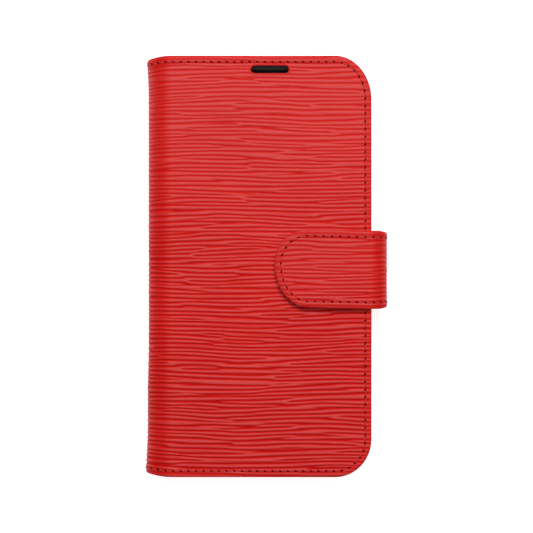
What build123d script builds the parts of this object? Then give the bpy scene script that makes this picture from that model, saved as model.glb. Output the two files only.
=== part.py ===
from build123d import *
import os

# Book-style wallet case for a phone, closed and lying on its back.
# X runs across the case, from the spine (-X) to the closure strap (+X); Y runs up the case, with the
# earpiece slot near +Y; Z is up, from the back panel to the front cover. All sizes are in millimetres.

# Driving dimensions: the phone that the case is made for
PHONE_W = 71.5
PHONE_H = 146.7
PHONE_T = 7.8
PHONE_R = 11.0

# Driving dimensions: the leather case
OVERALL_W = 87.2
CASE_H = 154.7
CORNER_R = 13.5
FOLD_R = 8.0
LEATHER = 1.2
BOARD = 0.8
LINING = 0.6
RIM = 1.2
FOLD_GAP = 0.4

# Driving dimensions: the cradle
WALL = 1.2
SHELL_FLOOR = 1.2
LIP = 0.8
LIP_REACH = 1.0
EDGE_SET_BACK = 0.35

# Driving dimensions: the pockets
SHEET = 0.5
POCKET_CLEARANCE = 0.4
POCKET_INSET = 4.2
CASH_TOP = 60.0
CARD_MOUTHS = (44.0, 28.0, 12.0)
THUMB_R = 9.0

# Driving dimensions: the closure strap
STRAP_REACH = 5.6
STRAP_W = 28.7
STRAP_Y = -1.25
STRAP_R = 6.0
TIP_X = 2.4
TIP_R = 13.0
STRAP_LEATHER = 0.9
STRAP_CORE = 1.0
STRAP_LINING = 0.5
STRAP_GAP = 0.3
STRAP_BASE = 0.4

# Driving dimensions: seams, slot and windows
SEAM_INSET = 2.35
POCKET_SEAM_INSET = 1.6
THREAD_W = 0.6
THREAD_D = 0.3
POCKET_THREAD_D = 0.2
SLOT_W = 13.9
SLOT_H = 2.75
SLOT_DROP = 5.1
WINDOW = 36.0
WINDOW_R = 9.0
WINDOW_INSET = 2.5
WINDOW_STEP = 1.0
PORT_W = 13.0
PORT_H = 5.5
SPEAKER_R = 0.9
SPEAKER_PITCH = 3.0

# Levels and places that follow from them
SPINE_X = -OVERALL_W / 2
STRAP_X = OVERALL_W / 2
EDGE_X = STRAP_X - STRAP_REACH
PANEL = LEATHER + BOARD + LINING
SHELL_TOP = PANEL + SHELL_FLOOR + PHONE_T + LIP
SHEET_COUNT = 1 + len(CARD_MOUTHS)
COVER_INNER = SHELL_TOP + POCKET_CLEARANCE + SHEET_COUNT * SHEET
COVER_TOP = COVER_INNER + PANEL
MID_Z = COVER_TOP / 2
SHELL_W = PHONE_W + 2 * WALL
SHELL_H = PHONE_H + 2 * WALL
PHONE_X = EDGE_X - EDGE_SET_BACK - SHELL_W / 2
SLOT_Y = CASE_H / 2 - SLOT_DROP
WINDOW_X = PHONE_X + PHONE_W / 2 - WINDOW_INSET - WINDOW / 2
WINDOW_Y = PHONE_H / 2 - WINDOW_INSET - WINDOW / 2
STRAP_T = STRAP_LEATHER + STRAP_CORE + STRAP_LINING
STRAP_TOP = COVER_TOP + STRAP_GAP + STRAP_T
STRAP_MID = (STRAP_BASE + STRAP_TOP) / 2
BEYOND = 20.0
FOLD_X = SPINE_X + FOLD_R
BEND_X = STRAP_X - STRAP_R

# Planes of the folds: each holds a bend's centre line and its outermost line, and its normal points away
# from the piece in the middle, the spine or the side of the strap
SPINE_FOLD = Plane(origin=(FOLD_X, 0, FOLD_R), x_dir=(0, 1, 0), z_dir=(1, 0, -1))
COVER_FOLD = Plane(origin=(FOLD_X, 0, COVER_TOP - FOLD_R), x_dir=(0, 1, 0), z_dir=(1, 0, 1))
ROOT_FOLD = Plane(origin=(BEND_X, 0, STRAP_BASE + STRAP_R), x_dir=(0, 1, 0), z_dir=(-1, 0, -1))
TIP_FOLD = Plane(origin=(BEND_X, 0, STRAP_TOP - STRAP_R), x_dir=(0, 1, 0), z_dir=(-1, 0, 1))

os.makedirs("parts", exist_ok=True)


def ring_layer(outer_depth, inner_depth, far_x, near_x, base, top, radius):
    """A layer of sheet that wraps round a bend: the part of a long rounded tube between two depths."""
    with BuildPart() as layer:
        with BuildSketch(Plane.XZ):
            with Locations(((far_x + near_x) / 2, (base + top) / 2)):
                for depth, mode in ((outer_depth, Mode.ADD), (inner_depth, Mode.SUBTRACT)):
                    width = abs(far_x - near_x) - 2 * depth
                    RectangleRounded(width, top - base - 2 * depth, radius - depth, mode=mode)
        extrude(amount=CASE_H, both=True)
    return layer.part


def wrap_layer(outer_depth, inner_depth, inset):
    """A layer of the sheet that makes the back, the spine and the front, with its edges drawn in by inset."""
    with BuildPart() as layer:
        add(ring_layer(outer_depth, inner_depth, EDGE_X + BEYOND, SPINE_X, 0, COVER_TOP, FOLD_R))
        with BuildSketch() as outline:
            left = SPINE_X - BEYOND
            right = EDGE_X - inset
            with Locations(((left + right) / 2, 0)):
                Rectangle(right - left, CASE_H - 2 * inset)
            fillet(outline.vertices().group_by(Axis.X)[-1], radius=CORNER_R - inset)
        extrude(amount=COVER_TOP, mode=Mode.INTERSECT)
    return layer.part


def strap_layer(outer_depth, inner_depth, inset):
    """A layer of the closure strap, from its root to its rounded tip, with its edges drawn in by inset."""
    with BuildPart() as layer:
        add(ring_layer(outer_depth, inner_depth, TIP_X - BEYOND, STRAP_X, STRAP_BASE, STRAP_TOP, STRAP_R))
        with BuildSketch() as outline:
            left = TIP_X + inset
            right = STRAP_X + BEYOND
            with Locations(((left + right) / 2, STRAP_Y)):
                Rectangle(right - left, STRAP_W - 2 * inset)
            fillet(outline.vertices().group_by(Axis.X)[0], radius=TIP_R - inset)
        extrude(amount=STRAP_TOP, mode=Mode.INTERSECT)
    return layer.part


def seam(layer, depths):
    """A row of stitching as a flat band, set in from the edges of a layer, at each pair of depths."""
    with BuildPart() as band:
        for outer_depth, inner_depth in depths:
            add(layer(outer_depth, inner_depth, SEAM_INSET - THREAD_W / 2))
        for outer_depth, inner_depth in depths:
            add(layer(outer_depth, inner_depth, SEAM_INSET + THREAD_W / 2), mode=Mode.SUBTRACT)
    return band.part


def window_outline(growth):
    """The camera window, larger all round by growth."""
    with BuildSketch() as outline:
        with Locations((WINDOW_X, WINDOW_Y)):
            RectangleRounded(WINDOW + 2 * growth, WINDOW + 2 * growth, WINDOW_R + growth)
    return outline.sketch


def slot_outline():
    """The earpiece slot of the front cover."""
    with BuildSketch() as outline:
        with Locations((PHONE_X, SLOT_Y)):
            SlotOverall(SLOT_W, SLOT_H)
    return outline.sketch


def pocket_outline(mouth, inset):
    """A pocket sheet's outline, which follows the cover's round corner at the foot, up to its mouth."""
    left = -EDGE_X + POCKET_INSET + inset
    right = EDGE_X - POCKET_INSET - inset
    foot = -CASE_H / 2 + POCKET_INSET + inset
    with BuildSketch() as outline:
        with Locations(((left + right) / 2, (foot + mouth) / 2)):
            Rectangle(right - left, mouth - foot)
        foot_corners = outline.vertices().group_by(Axis.Y)[0]
        fillet(foot_corners.sort_by(Axis.X)[-1], radius=CORNER_R - POCKET_INSET - inset)
    return outline.sketch


PANEL_SEAMS = ((0, THREAD_D), (PANEL - THREAD_D, PANEL))
STRAP_SEAMS = ((0, THREAD_D), (STRAP_T - THREAD_D, STRAP_T))
BACK_SIDE = SPINE_FOLD.offset(FOLD_GAP / 2)
SPINE_LOW_SIDE = SPINE_FOLD.offset(-FOLD_GAP / 2)
SPINE_HIGH_SIDE = COVER_FOLD.offset(-FOLD_GAP / 2)
COVER_SIDE = COVER_FOLD.offset(FOLD_GAP / 2)
ROOT_SIDE = ROOT_FOLD.offset(FOLD_GAP / 2)
STRAP_LOW_SIDE = ROOT_FOLD.offset(-FOLD_GAP / 2)
STRAP_HIGH_SIDE = TIP_FOLD.offset(-FOLD_GAP / 2)
TIP_SIDE = TIP_FOLD.offset(FOLD_GAP / 2)

# ---------------------------------------------------------------- closure strap

# End of the strap: full thickness outside the case, skived to a tab between back leather and lining
TAB_LENGTH = 16.0
TAB_INSET = 1.5
ROOT_X = EDGE_X + 0.1
with BuildPart() as strap_root:
    add(strap_layer(0, STRAP_T, 0))
    split(bisect_by=ROOT_SIDE, keep=Keep.TOP)
    split(bisect_by=Plane.XY.offset(STRAP_MID), keep=Keep.BOTTOM)
    split(bisect_by=Plane.YZ.offset(ROOT_X), keep=Keep.TOP)
    with BuildSketch(Plane.XY.offset(LEATHER)):
        with Locations((ROOT_X - TAB_LENGTH / 2, STRAP_Y)):
            Rectangle(TAB_LENGTH, STRAP_W - 2 * TAB_INSET)
    extrude(amount=BOARD)
strap_root.part.label = "strap_root"
export_step(strap_root.part, "parts/strap_root.step")

with BuildPart() as strap_side_thread:
    add(seam(strap_layer, STRAP_SEAMS))
    split(bisect_by=STRAP_LOW_SIDE, keep=Keep.BOTTOM)
    split(bisect_by=STRAP_HIGH_SIDE, keep=Keep.BOTTOM)
strap_side_thread.part.label = "strap_side_thread"
export_step(strap_side_thread.part, "parts/strap_side_thread.step")

with BuildPart() as strap_side_leather:
    add(strap_layer(0, STRAP_T, 0))
    add(strap_layer(STRAP_T - STRAP_LINING, STRAP_T, RIM), mode=Mode.SUBTRACT)
    split(bisect_by=STRAP_LOW_SIDE, keep=Keep.BOTTOM)
    split(bisect_by=STRAP_HIGH_SIDE, keep=Keep.BOTTOM)
    add(strap_side_thread.part, mode=Mode.SUBTRACT)
strap_side_leather.part.label = "strap_side_leather"
export_step(strap_side_leather.part, "parts/strap_side_leather.step")

with BuildPart() as strap_side_lining:
    add(strap_layer(STRAP_T - STRAP_LINING, STRAP_T, RIM))
    split(bisect_by=STRAP_LOW_SIDE, keep=Keep.BOTTOM)
    split(bisect_by=STRAP_HIGH_SIDE, keep=Keep.BOTTOM)
    add(strap_side_thread.part, mode=Mode.SUBTRACT)
strap_side_lining.part.label = "strap_side_lining"
export_step(strap_side_lining.part, "parts/strap_side_lining.step")

with BuildPart() as strap_tip_thread:
    add(seam(strap_layer, STRAP_SEAMS))
    split(bisect_by=TIP_SIDE, keep=Keep.TOP)
    split(bisect_by=Plane.XY.offset(STRAP_MID), keep=Keep.TOP)
strap_tip_thread.part.label = "strap_tip_thread"
export_step(strap_tip_thread.part, "parts/strap_tip_thread.step")

# The core lies in the flat stretch of the tip, inside the seam, and holds the magnets
CORE_INSET = 3.4
MAGNET_R = 4.5
MAGNET_PITCH = 11.0
MAGNET_X = TIP_X + 12.0
CORE_Z = STRAP_TOP - STRAP_LEATHER - STRAP_CORE
with BuildPart() as strap_magnets:
    with BuildSketch(Plane.XY.offset(CORE_Z)):
        with Locations((MAGNET_X, STRAP_Y)):
            with GridLocations(0, MAGNET_PITCH, 1, 2):
                Circle(MAGNET_R)
    extrude(amount=STRAP_CORE)
strap_magnets.part.label = "strap_magnets"
export_step(strap_magnets.part, "parts/strap_magnets.step")

with BuildPart() as strap_tip_core:
    add(strap_layer(STRAP_LEATHER, STRAP_LEATHER + STRAP_CORE, CORE_INSET))
    split(bisect_by=Plane.XY.offset(STRAP_MID), keep=Keep.TOP)
    split(bisect_by=Plane.YZ.offset(BEND_X), keep=Keep.BOTTOM)
    add(strap_magnets.part, mode=Mode.SUBTRACT)
strap_tip_core.part.label = "strap_tip_core"
export_step(strap_tip_core.part, "parts/strap_tip_core.step")

with BuildPart() as strap_tip_lining:
    add(strap_layer(STRAP_T - STRAP_LINING, STRAP_T, RIM))
    split(bisect_by=TIP_SIDE, keep=Keep.TOP)
    split(bisect_by=Plane.XY.offset(STRAP_MID), keep=Keep.TOP)
    add(strap_tip_thread.part, mode=Mode.SUBTRACT)
strap_tip_lining.part.label = "strap_tip_lining"
export_step(strap_tip_lining.part, "parts/strap_tip_lining.step")

with BuildPart() as strap_tip_leather:
    add(strap_layer(0, STRAP_T, 0))
    split(bisect_by=TIP_SIDE, keep=Keep.TOP)
    split(bisect_by=Plane.XY.offset(STRAP_MID), keep=Keep.TOP)
    for inner_piece in (strap_tip_thread, strap_tip_lining, strap_tip_core, strap_magnets):
        add(inner_piece.part, mode=Mode.SUBTRACT)
strap_tip_leather.part.label = "strap_tip_leather"
export_step(strap_tip_leather.part, "parts/strap_tip_leather.step")

# ---------------------------------------------------------------- back panel

with BuildPart() as back_thread:
    add(seam(wrap_layer, PANEL_SEAMS))
    split(bisect_by=BACK_SIDE, keep=Keep.TOP)
    split(bisect_by=Plane.XY.offset(MID_Z), keep=Keep.BOTTOM)
back_thread.part.label = "back_thread"
export_step(back_thread.part, "parts/back_thread.step")

with BuildPart() as back_board:
    add(wrap_layer(LEATHER, LEATHER + BOARD, RIM))
    split(bisect_by=Plane.XY.offset(MID_Z), keep=Keep.BOTTOM)
    split(bisect_by=Plane.YZ.offset(FOLD_X), keep=Keep.TOP)
    extrude(window_outline(WINDOW_STEP), amount=PANEL, mode=Mode.SUBTRACT)
    add(strap_root.part, mode=Mode.SUBTRACT)
back_board.part.label = "back_board"
export_step(back_board.part, "parts/back_board.step")

with BuildPart() as back_lining:
    add(wrap_layer(LEATHER + BOARD, PANEL, RIM))
    split(bisect_by=BACK_SIDE, keep=Keep.TOP)
    split(bisect_by=Plane.XY.offset(MID_Z), keep=Keep.BOTTOM)
    extrude(window_outline(WINDOW_STEP), amount=PANEL, mode=Mode.SUBTRACT)
    add(back_thread.part, mode=Mode.SUBTRACT)
back_lining.part.label = "back_lining"
export_step(back_lining.part, "parts/back_lining.step")

with BuildPart() as back_leather:
    add(wrap_layer(0, PANEL, 0))
    add(wrap_layer(LEATHER, PANEL, RIM), mode=Mode.SUBTRACT)
    split(bisect_by=BACK_SIDE, keep=Keep.TOP)
    split(bisect_by=Plane.XY.offset(MID_Z), keep=Keep.BOTTOM)
    extrude(window_outline(WINDOW_STEP), amount=PANEL, mode=Mode.SUBTRACT)
    add(back_thread.part, mode=Mode.SUBTRACT)
    add(strap_root.part, mode=Mode.SUBTRACT)
back_leather.part.label = "back_leather"
export_step(back_leather.part, "parts/back_leather.step")

# Moulded cradle: a tray with a lip that turns in over the phone, glued down on the back lining
BUTTON_LENGTHS = ((-1, 41.0, 6.5), (-1, 27.0, 10.5), (-1, 12.5, 10.5), (1, 23.0, 15.0))
BUTTON_W = 3.4
BUTTON_PROUD = 0.5
BUTTON_Z = PANEL + SHELL_FLOOR + PHONE_T / 2
EDGE_ROUND = 0.9
with BuildPart() as phone_shell:
    with BuildSketch(Plane.XY.offset(PANEL)):
        with Locations((PHONE_X, 0)):
            RectangleRounded(SHELL_W, SHELL_H, PHONE_R + WALL)
    extrude(amount=SHELL_TOP - PANEL)
    fillet(phone_shell.faces().sort_by(Axis.Z)[0].edges(), radius=EDGE_ROUND)
    fillet(phone_shell.faces().sort_by(Axis.Z)[-1].edges(), radius=LIP / 2)
    with BuildSketch(Plane.XY.offset(PANEL + SHELL_FLOOR)):
        with Locations((PHONE_X, 0)):
            RectangleRounded(PHONE_W, PHONE_H, PHONE_R)
    extrude(amount=PHONE_T, mode=Mode.SUBTRACT)
    with BuildSketch(Plane.XY.offset(PANEL + SHELL_FLOOR)):
        with Locations((PHONE_X, 0)):
            RectangleRounded(PHONE_W - 2 * LIP_REACH, PHONE_H - 2 * LIP_REACH, PHONE_R - LIP_REACH)
    extrude(amount=SHELL_TOP, mode=Mode.SUBTRACT)
    extrude(window_outline(0), amount=PANEL + SHELL_FLOOR, mode=Mode.SUBTRACT)
    # charging port and, on each side of it, a row of speaker holes
    with BuildSketch(Plane.XZ.offset(PHONE_H / 2 - WALL)):
        with Locations((PHONE_X, BUTTON_Z)):
            SlotOverall(PORT_W, PORT_H)
            with GridLocations(PORT_W + 6 * SPEAKER_PITCH, 0, 2, 1):
                with GridLocations(SPEAKER_PITCH, 0, 5, 1):
                    Circle(SPEAKER_R)
    extrude(amount=3 * WALL, mode=Mode.SUBTRACT)
    # soft pads over the phone's buttons
    for side, along, length in BUTTON_LENGTHS:
        with BuildSketch(Plane.YZ.offset(PHONE_X + side * SHELL_W / 2)):
            with Locations((along, BUTTON_Z)):
                SlotOverall(length, BUTTON_W)
        extrude(amount=side * BUTTON_PROUD)
phone_shell.part.label = "phone_shell"
export_step(phone_shell.part, "parts/phone_shell.step")

# ---------------------------------------------------------------- spine

with BuildPart() as spine_thread:
    add(seam(wrap_layer, PANEL_SEAMS))
    split(bisect_by=SPINE_LOW_SIDE, keep=Keep.BOTTOM)
    split(bisect_by=SPINE_HIGH_SIDE, keep=Keep.BOTTOM)
spine_thread.part.label = "spine_thread"
export_step(spine_thread.part, "parts/spine_thread.step")

with BuildPart() as spine_padding:
    add(wrap_layer(LEATHER, LEATHER + BOARD, RIM))
    split(bisect_by=SPINE_LOW_SIDE, keep=Keep.BOTTOM)
    split(bisect_by=SPINE_HIGH_SIDE, keep=Keep.BOTTOM)
spine_padding.part.label = "spine_padding"
export_step(spine_padding.part, "parts/spine_padding.step")

with BuildPart() as spine_lining:
    add(wrap_layer(LEATHER + BOARD, PANEL, RIM))
    split(bisect_by=SPINE_LOW_SIDE, keep=Keep.BOTTOM)
    split(bisect_by=SPINE_HIGH_SIDE, keep=Keep.BOTTOM)
    add(spine_thread.part, mode=Mode.SUBTRACT)
spine_lining.part.label = "spine_lining"
export_step(spine_lining.part, "parts/spine_lining.step")

with BuildPart() as spine_leather:
    add(wrap_layer(0, PANEL, 0))
    add(wrap_layer(LEATHER, PANEL, RIM), mode=Mode.SUBTRACT)
    split(bisect_by=SPINE_LOW_SIDE, keep=Keep.BOTTOM)
    split(bisect_by=SPINE_HIGH_SIDE, keep=Keep.BOTTOM)
    add(spine_thread.part, mode=Mode.SUBTRACT)
spine_leather.part.label = "spine_leather"
export_step(spine_leather.part, "parts/spine_leather.step")

# ---------------------------------------------------------------- front cover

with BuildPart() as cover_thread:
    add(seam(wrap_layer, PANEL_SEAMS))
    split(bisect_by=COVER_SIDE, keep=Keep.TOP)
    split(bisect_by=Plane.XY.offset(MID_Z), keep=Keep.TOP)
cover_thread.part.label = "cover_thread"
export_step(cover_thread.part, "parts/cover_thread.step")

# Steel plate let into the board, under the magnets of the strap
PLATE_W = 13.0
PLATE_H = 24.0
PLATE_R = 2.0
with BuildPart() as closure_plate:
    with BuildSketch(Plane.XY.offset(COVER_TOP - LEATHER - BOARD)):
        with Locations((MAGNET_X, STRAP_Y)):
            RectangleRounded(PLATE_W, PLATE_H, PLATE_R)
    extrude(amount=BOARD)
closure_plate.part.label = "closure_plate"
export_step(closure_plate.part, "parts/closure_plate.step")

with BuildPart() as cover_board:
    add(wrap_layer(LEATHER, LEATHER + BOARD, RIM))
    split(bisect_by=Plane.XY.offset(MID_Z), keep=Keep.TOP)
    split(bisect_by=Plane.YZ.offset(FOLD_X), keep=Keep.TOP)
    extrude(slot_outline(), amount=COVER_TOP, mode=Mode.SUBTRACT)
    add(closure_plate.part, mode=Mode.SUBTRACT)
cover_board.part.label = "cover_board"
export_step(cover_board.part, "parts/cover_board.step")

with BuildPart() as cover_lining:
    add(wrap_layer(LEATHER + BOARD, PANEL, RIM))
    split(bisect_by=COVER_SIDE, keep=Keep.TOP)
    split(bisect_by=Plane.XY.offset(MID_Z), keep=Keep.TOP)
    extrude(slot_outline(), amount=COVER_TOP, mode=Mode.SUBTRACT)
    add(cover_thread.part, mode=Mode.SUBTRACT)
cover_lining.part.label = "cover_lining"
export_step(cover_lining.part, "parts/cover_lining.step")

with BuildPart() as cover_leather:
    add(wrap_layer(0, PANEL, 0))
    add(wrap_layer(LEATHER, PANEL, RIM), mode=Mode.SUBTRACT)
    split(bisect_by=COVER_SIDE, keep=Keep.TOP)
    split(bisect_by=Plane.XY.offset(MID_Z), keep=Keep.TOP)
    extrude(slot_outline(), amount=COVER_TOP, mode=Mode.SUBTRACT)
    add(cover_thread.part, mode=Mode.SUBTRACT)
cover_leather.part.label = "cover_leather"
export_step(cover_leather.part, "parts/cover_leather.step")

# Seams of the pockets. The note pocket is sewn along its top and its free side, and shows only above the
# card pockets; each card pocket is sewn down both sides, and the foremost one also along its foot.
MOUTHS = (CASH_TOP,) + CARD_MOUTHS
with BuildPart() as pocket_thread:
    for level, mouth in enumerate(MOUTHS):
        face_z = COVER_INNER - (level + 1) * SHEET
        foremost = level == SHEET_COUNT - 1
        low = -CASE_H / 2 if foremost else MOUTHS[level + 1]
        high = CASH_TOP - POCKET_SEAM_INSET + THREAD_W / 2 if level == 0 else mouth
        with BuildSketch(Plane.XY.offset(face_z)):
            add(pocket_outline(high, POCKET_SEAM_INSET - THREAD_W / 2))
            top = high - THREAD_W if level == 0 else high
            add(pocket_outline(top, POCKET_SEAM_INSET + THREAD_W / 2), mode=Mode.SUBTRACT)
            with Locations((0, (low + CASH_TOP) / 2)):
                Rectangle(OVERALL_W, CASH_TOP - low, mode=Mode.INTERSECT)
        extrude(amount=POCKET_THREAD_D)
pocket_thread.part.label = "pocket_thread"
export_step(pocket_thread.part, "parts/pocket_thread.step")

with BuildPart() as cash_pocket:
    with BuildSketch(Plane.XY.offset(COVER_INNER - SHEET)):
        add(pocket_outline(CASH_TOP, 0))
    extrude(amount=SHEET)
    add(pocket_thread.part, mode=Mode.SUBTRACT)
cash_pocket.part.label = "cash_pocket"
export_step(cash_pocket.part, "parts/cash_pocket.step")

# Each card pocket lies on the one behind it, with a lower mouth and a notch for the thumb
for number, mouth in enumerate(CARD_MOUTHS, start=1):
    with BuildPart() as card_pocket:
        with BuildSketch(Plane.XY.offset(COVER_INNER - (number + 1) * SHEET)):
            add(pocket_outline(mouth, 0))
            with Locations((0, mouth + THUMB_R / 2)):
                Circle(THUMB_R, mode=Mode.SUBTRACT)
        extrude(amount=SHEET)
        add(pocket_thread.part, mode=Mode.SUBTRACT)
    card_pocket.part.label = f"card_pocket_{number}"
    export_step(card_pocket.part, f"parts/card_pocket_{number}.step")
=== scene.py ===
import math

import bpy
import numpy as np
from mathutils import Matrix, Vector

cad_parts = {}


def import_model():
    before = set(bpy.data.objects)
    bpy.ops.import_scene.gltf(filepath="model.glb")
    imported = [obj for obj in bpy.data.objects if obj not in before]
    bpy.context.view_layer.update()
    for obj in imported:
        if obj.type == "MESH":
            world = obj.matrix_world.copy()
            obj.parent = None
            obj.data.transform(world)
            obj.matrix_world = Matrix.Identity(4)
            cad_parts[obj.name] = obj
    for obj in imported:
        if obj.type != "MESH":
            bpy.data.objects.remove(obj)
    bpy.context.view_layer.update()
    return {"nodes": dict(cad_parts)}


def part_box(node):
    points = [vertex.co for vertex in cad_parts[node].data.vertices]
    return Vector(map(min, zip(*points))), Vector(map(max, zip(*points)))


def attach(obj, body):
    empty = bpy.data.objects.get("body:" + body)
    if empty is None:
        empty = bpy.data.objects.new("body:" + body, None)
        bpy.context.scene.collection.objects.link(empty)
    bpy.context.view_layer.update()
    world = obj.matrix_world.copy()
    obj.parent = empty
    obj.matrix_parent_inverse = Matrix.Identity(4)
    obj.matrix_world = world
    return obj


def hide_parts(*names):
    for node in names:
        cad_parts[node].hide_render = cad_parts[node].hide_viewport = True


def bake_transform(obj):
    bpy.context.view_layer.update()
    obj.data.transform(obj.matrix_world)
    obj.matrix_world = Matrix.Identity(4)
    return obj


# A red wave-grain leather wallet case for a phone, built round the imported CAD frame. Shapes are worked out
# in millimetres, in the flat coordinates of each sheet: s along it from the middle of the spine (or of the
# strap's side), y up the case, w out from its outer face. They are then folded into place, in metres.
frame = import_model()
MM = 0.001


def span(node):
    """Lowest and highest corner of a CAD node, in millimetres."""
    low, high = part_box(node)
    return np.array(low) / MM, np.array(high) / MM


# ---------- sizes read from the frame
shell_low, shell_high = span("phone_shell")
tip_low, tip_high = span("strap_tip_leather")
EDGE_X, HALF_H, TOP_Z = span("cover_leather")[1]
SPINE_X = span("spine_leather")[0][0]
PHONE_X = (shell_low[0] + shell_high[0]) / 2
STRAP_X = span("strap_side_leather")[1][0]
STRAP_BASE = span("strap_root")[0][2]
STRAP_Y = (tip_low[1] + tip_high[1]) / 2
STRAP_HALF = (tip_high[1] - tip_low[1]) / 2
TIP_X, STRAP_TOP = tip_low[0], tip_high[2]

# sizes that the CAD source has too
FOLD_R = 8.0
STRAP_R = 6.0
PANEL_T = 2.6
STRAP_T = 2.4
RIM = 1.2
SEAM_INSET = 2.35
SLOT_Y = HALF_H - 5.1
SLOT_CORE = (5.575, 0.0)
SLOT_R = 1.375
WINDOW_CORE = (9.0, 9.0)
WINDOW_R = 10.0
WINDOW_X = PHONE_X + 15.25
WINDOW_Y = 52.85

# rounded corners, near the CAD's radii: the width, then the height at the lower edge and at the upper
CORNER = (13.4, 14.0, 16.2)
TIP_CORNER = (12.6, 15.4, 12.8)

# looks: BAND is the smooth border that holds the seam, GROOVE_HALF the half width of the seam's groove
GRAIN_DEPTH = 0.42
# BEND_SHADE is painted shade on the bends of the spine and the strap, where the gloss falls away; RIM_SHADE
# is painted shade along the smooth border, the rolled edges and the seam's groove
BEND_SHADE = 0.32
RIM_SHADE = 0.30
COVER_STITCH = 2.8
STRAP_STITCH = 3.05
BAND = 2.8
GROOVE_HALF = 0.26


# ---------- wave grain
# the height field's cell and its reach to each side, along the grain (U) and across it (V)
GRAIN_DU, GRAIN_DV = 0.4, 0.1
GRAIN_U, GRAIN_V = 100.0, 80.0
# fine grooves: lanes beyond the field, their jitter, how closely grooves follow each other, and their sway
LANE_MARGIN = 3
LANE_JITTER = 0.22
LANE_FOLLOW = (0.82, 1.0)
SWAY_WAVE = (14, 34)
TURN = 6.28
TAPER = 9.0
# ridges are broader for a lower power, and a groove fades out where the noise is weaker than WEAK
RIDGE_POWER = 0.45
WEAK = 0.16
rng = np.random.default_rng(11)


def pick(low_high):
    return rng.uniform(*low_high)


def grooves(pitch, length, slope, sway, width, depth):
    """Depth field of long fine grooves along u, each at its own small slope, laid in jittered lanes."""
    field = np.zeros((int(2 * GRAIN_V / GRAIN_DV) + 2, int(2 * GRAIN_U / GRAIN_DU) + 2))
    for lane in np.arange(-GRAIN_V - LANE_MARGIN, GRAIN_V + LANE_MARGIN, pitch):
        start = -GRAIN_U - pick((0, length[1]))
        while start < GRAIN_U:
            size = pick(length)
            one_groove(field, start, size, lane + rng.normal(0, LANE_JITTER * pitch), rng.normal(0, slope),
                       rng.normal(0, sway), pick(SWAY_WAVE), pick((0, TURN)), pick(width), pick(depth))
            start += size * pick(LANE_FOLLOW)
    return field


def one_groove(field, start, size, v, slope, sway, wave, phase, width, depth):
    """Presses one groove into the field, from start along u, tapered at both ends."""
    column = np.arange(max(0, int((start + GRAIN_U) / GRAIN_DU)),
                       min(field.shape[1], int((start + size + GRAIN_U) / GRAIN_DU)))
    if not len(column):
        return
    u = column * GRAIN_DU - GRAIN_U
    t = (u - start) / size
    line = v + slope * (u - start - size / 2) + sway * np.sin(u / wave * TURN + phase)
    taper = np.clip(np.minimum(t, 1 - t) * size / TAPER, 0, 1) ** 0.7
    centre = (line + GRAIN_V) / GRAIN_DV
    reach = int(4 * width / GRAIN_DV)
    row = np.floor(centre).astype(int)[None, :] + np.arange(-reach, reach + 1)[:, None]
    value = depth * taper * np.exp(-(np.abs(row - centre) * GRAIN_DV / width) ** 1.25)
    inside = (row >= 0) & (row < field.shape[0])
    columns = np.broadcast_to(column, row.shape)[inside]
    field[row[inside], columns] = np.maximum(field[row[inside], columns], value[inside])


def band_noise(shape, pitch, spread, wander):
    """Noise with ridges along u about one pitch apart, as an analytic signal of unit strength."""
    noise = rng.standard_normal(shape)
    fv = np.fft.fftfreq(shape[0], GRAIN_DV)[:, None]
    fu = np.fft.fftfreq(shape[1], GRAIN_DU)[None, :]
    centre = 1 / pitch
    gain = np.exp(-(((fv - centre) / (spread * centre)) ** 2) / 2 - (fu / wander) ** 2 / 2) * (fv > 0)
    signal = np.fft.ifft2(np.fft.fft2(noise) * gain)
    return signal / np.sqrt((abs(signal) ** 2).mean())


def grain_field():
    """Height of the embossed grain, 1 on the ridges, falling towards 0 in the deepest grooves."""
    fine = grooves(pitch=0.85, length=(8, 30), slope=0.040, sway=0.10, width=(0.10, 0.18),
                   depth=(0.08, 0.42))
    wave = band_noise(fine.shape, pitch=1.6, spread=0.27, wander=0.026)
    ridge = (0.5 + 0.5 * np.cos(np.angle(wave))) ** RIDGE_POWER
    deep = (1 - ridge) * np.clip(abs(wave) / WEAK, 0, 1)
    return 1 - np.maximum(deep, fine)


GRAIN = grain_field()


DRIFT = 0.42
DRIFT_S, DRIFT_Y = 11.5, 21.0
DRIFT_TURN, DRIFT_TURN_Y = 1.6, 14.0


def drift(s, y):
    """How far the grain's lines wander up the case at flat coordinates, in long slow waves."""
    return DRIFT * np.sin(s / DRIFT_S + DRIFT_TURN * np.sin(y / DRIFT_TURN_Y) + y / DRIFT_Y)


def grain(s, y):
    """The grain's height at flat coordinates, in millimetres, by bilinear interpolation."""
    u = np.clip((s + GRAIN_U) / GRAIN_DU, 0, GRAIN.shape[1] - 2)
    v = np.clip((y + drift(s, y) + GRAIN_V) / GRAIN_DV, 0, GRAIN.shape[0] - 2)
    u0, v0 = u.astype(int), v.astype(int)
    fu, fv = u - u0, v - v0
    low = GRAIN[v0, u0] * (1 - fu) + GRAIN[v0, u0 + 1] * fu
    high = GRAIN[v0 + 1, u0] * (1 - fu) + GRAIN[v0 + 1, u0 + 1] * fu
    return low * (1 - fv) + high * fv


def smoothstep(low, high, x):
    """A smooth rise from 0 at low to 1 at high."""
    t = np.clip((x - low) / (high - low), 0, 1)
    return t * t * (3 - 2 * t)


# ---------- folding a flat sheet into place
END_REACH = 12.0
# the angle round the bend, from the side, at which the painted bend shade is strongest, and how far it
# spreads, in degrees
BEND_SHADE_AT, BEND_SHADE_WIDTH = 58, 24
# how far in from its end a flare lies, and how wide it is
LOW_FLARE, HIGH_FLARE = (3.4, 8.0), (2.6, 6.0)


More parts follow.
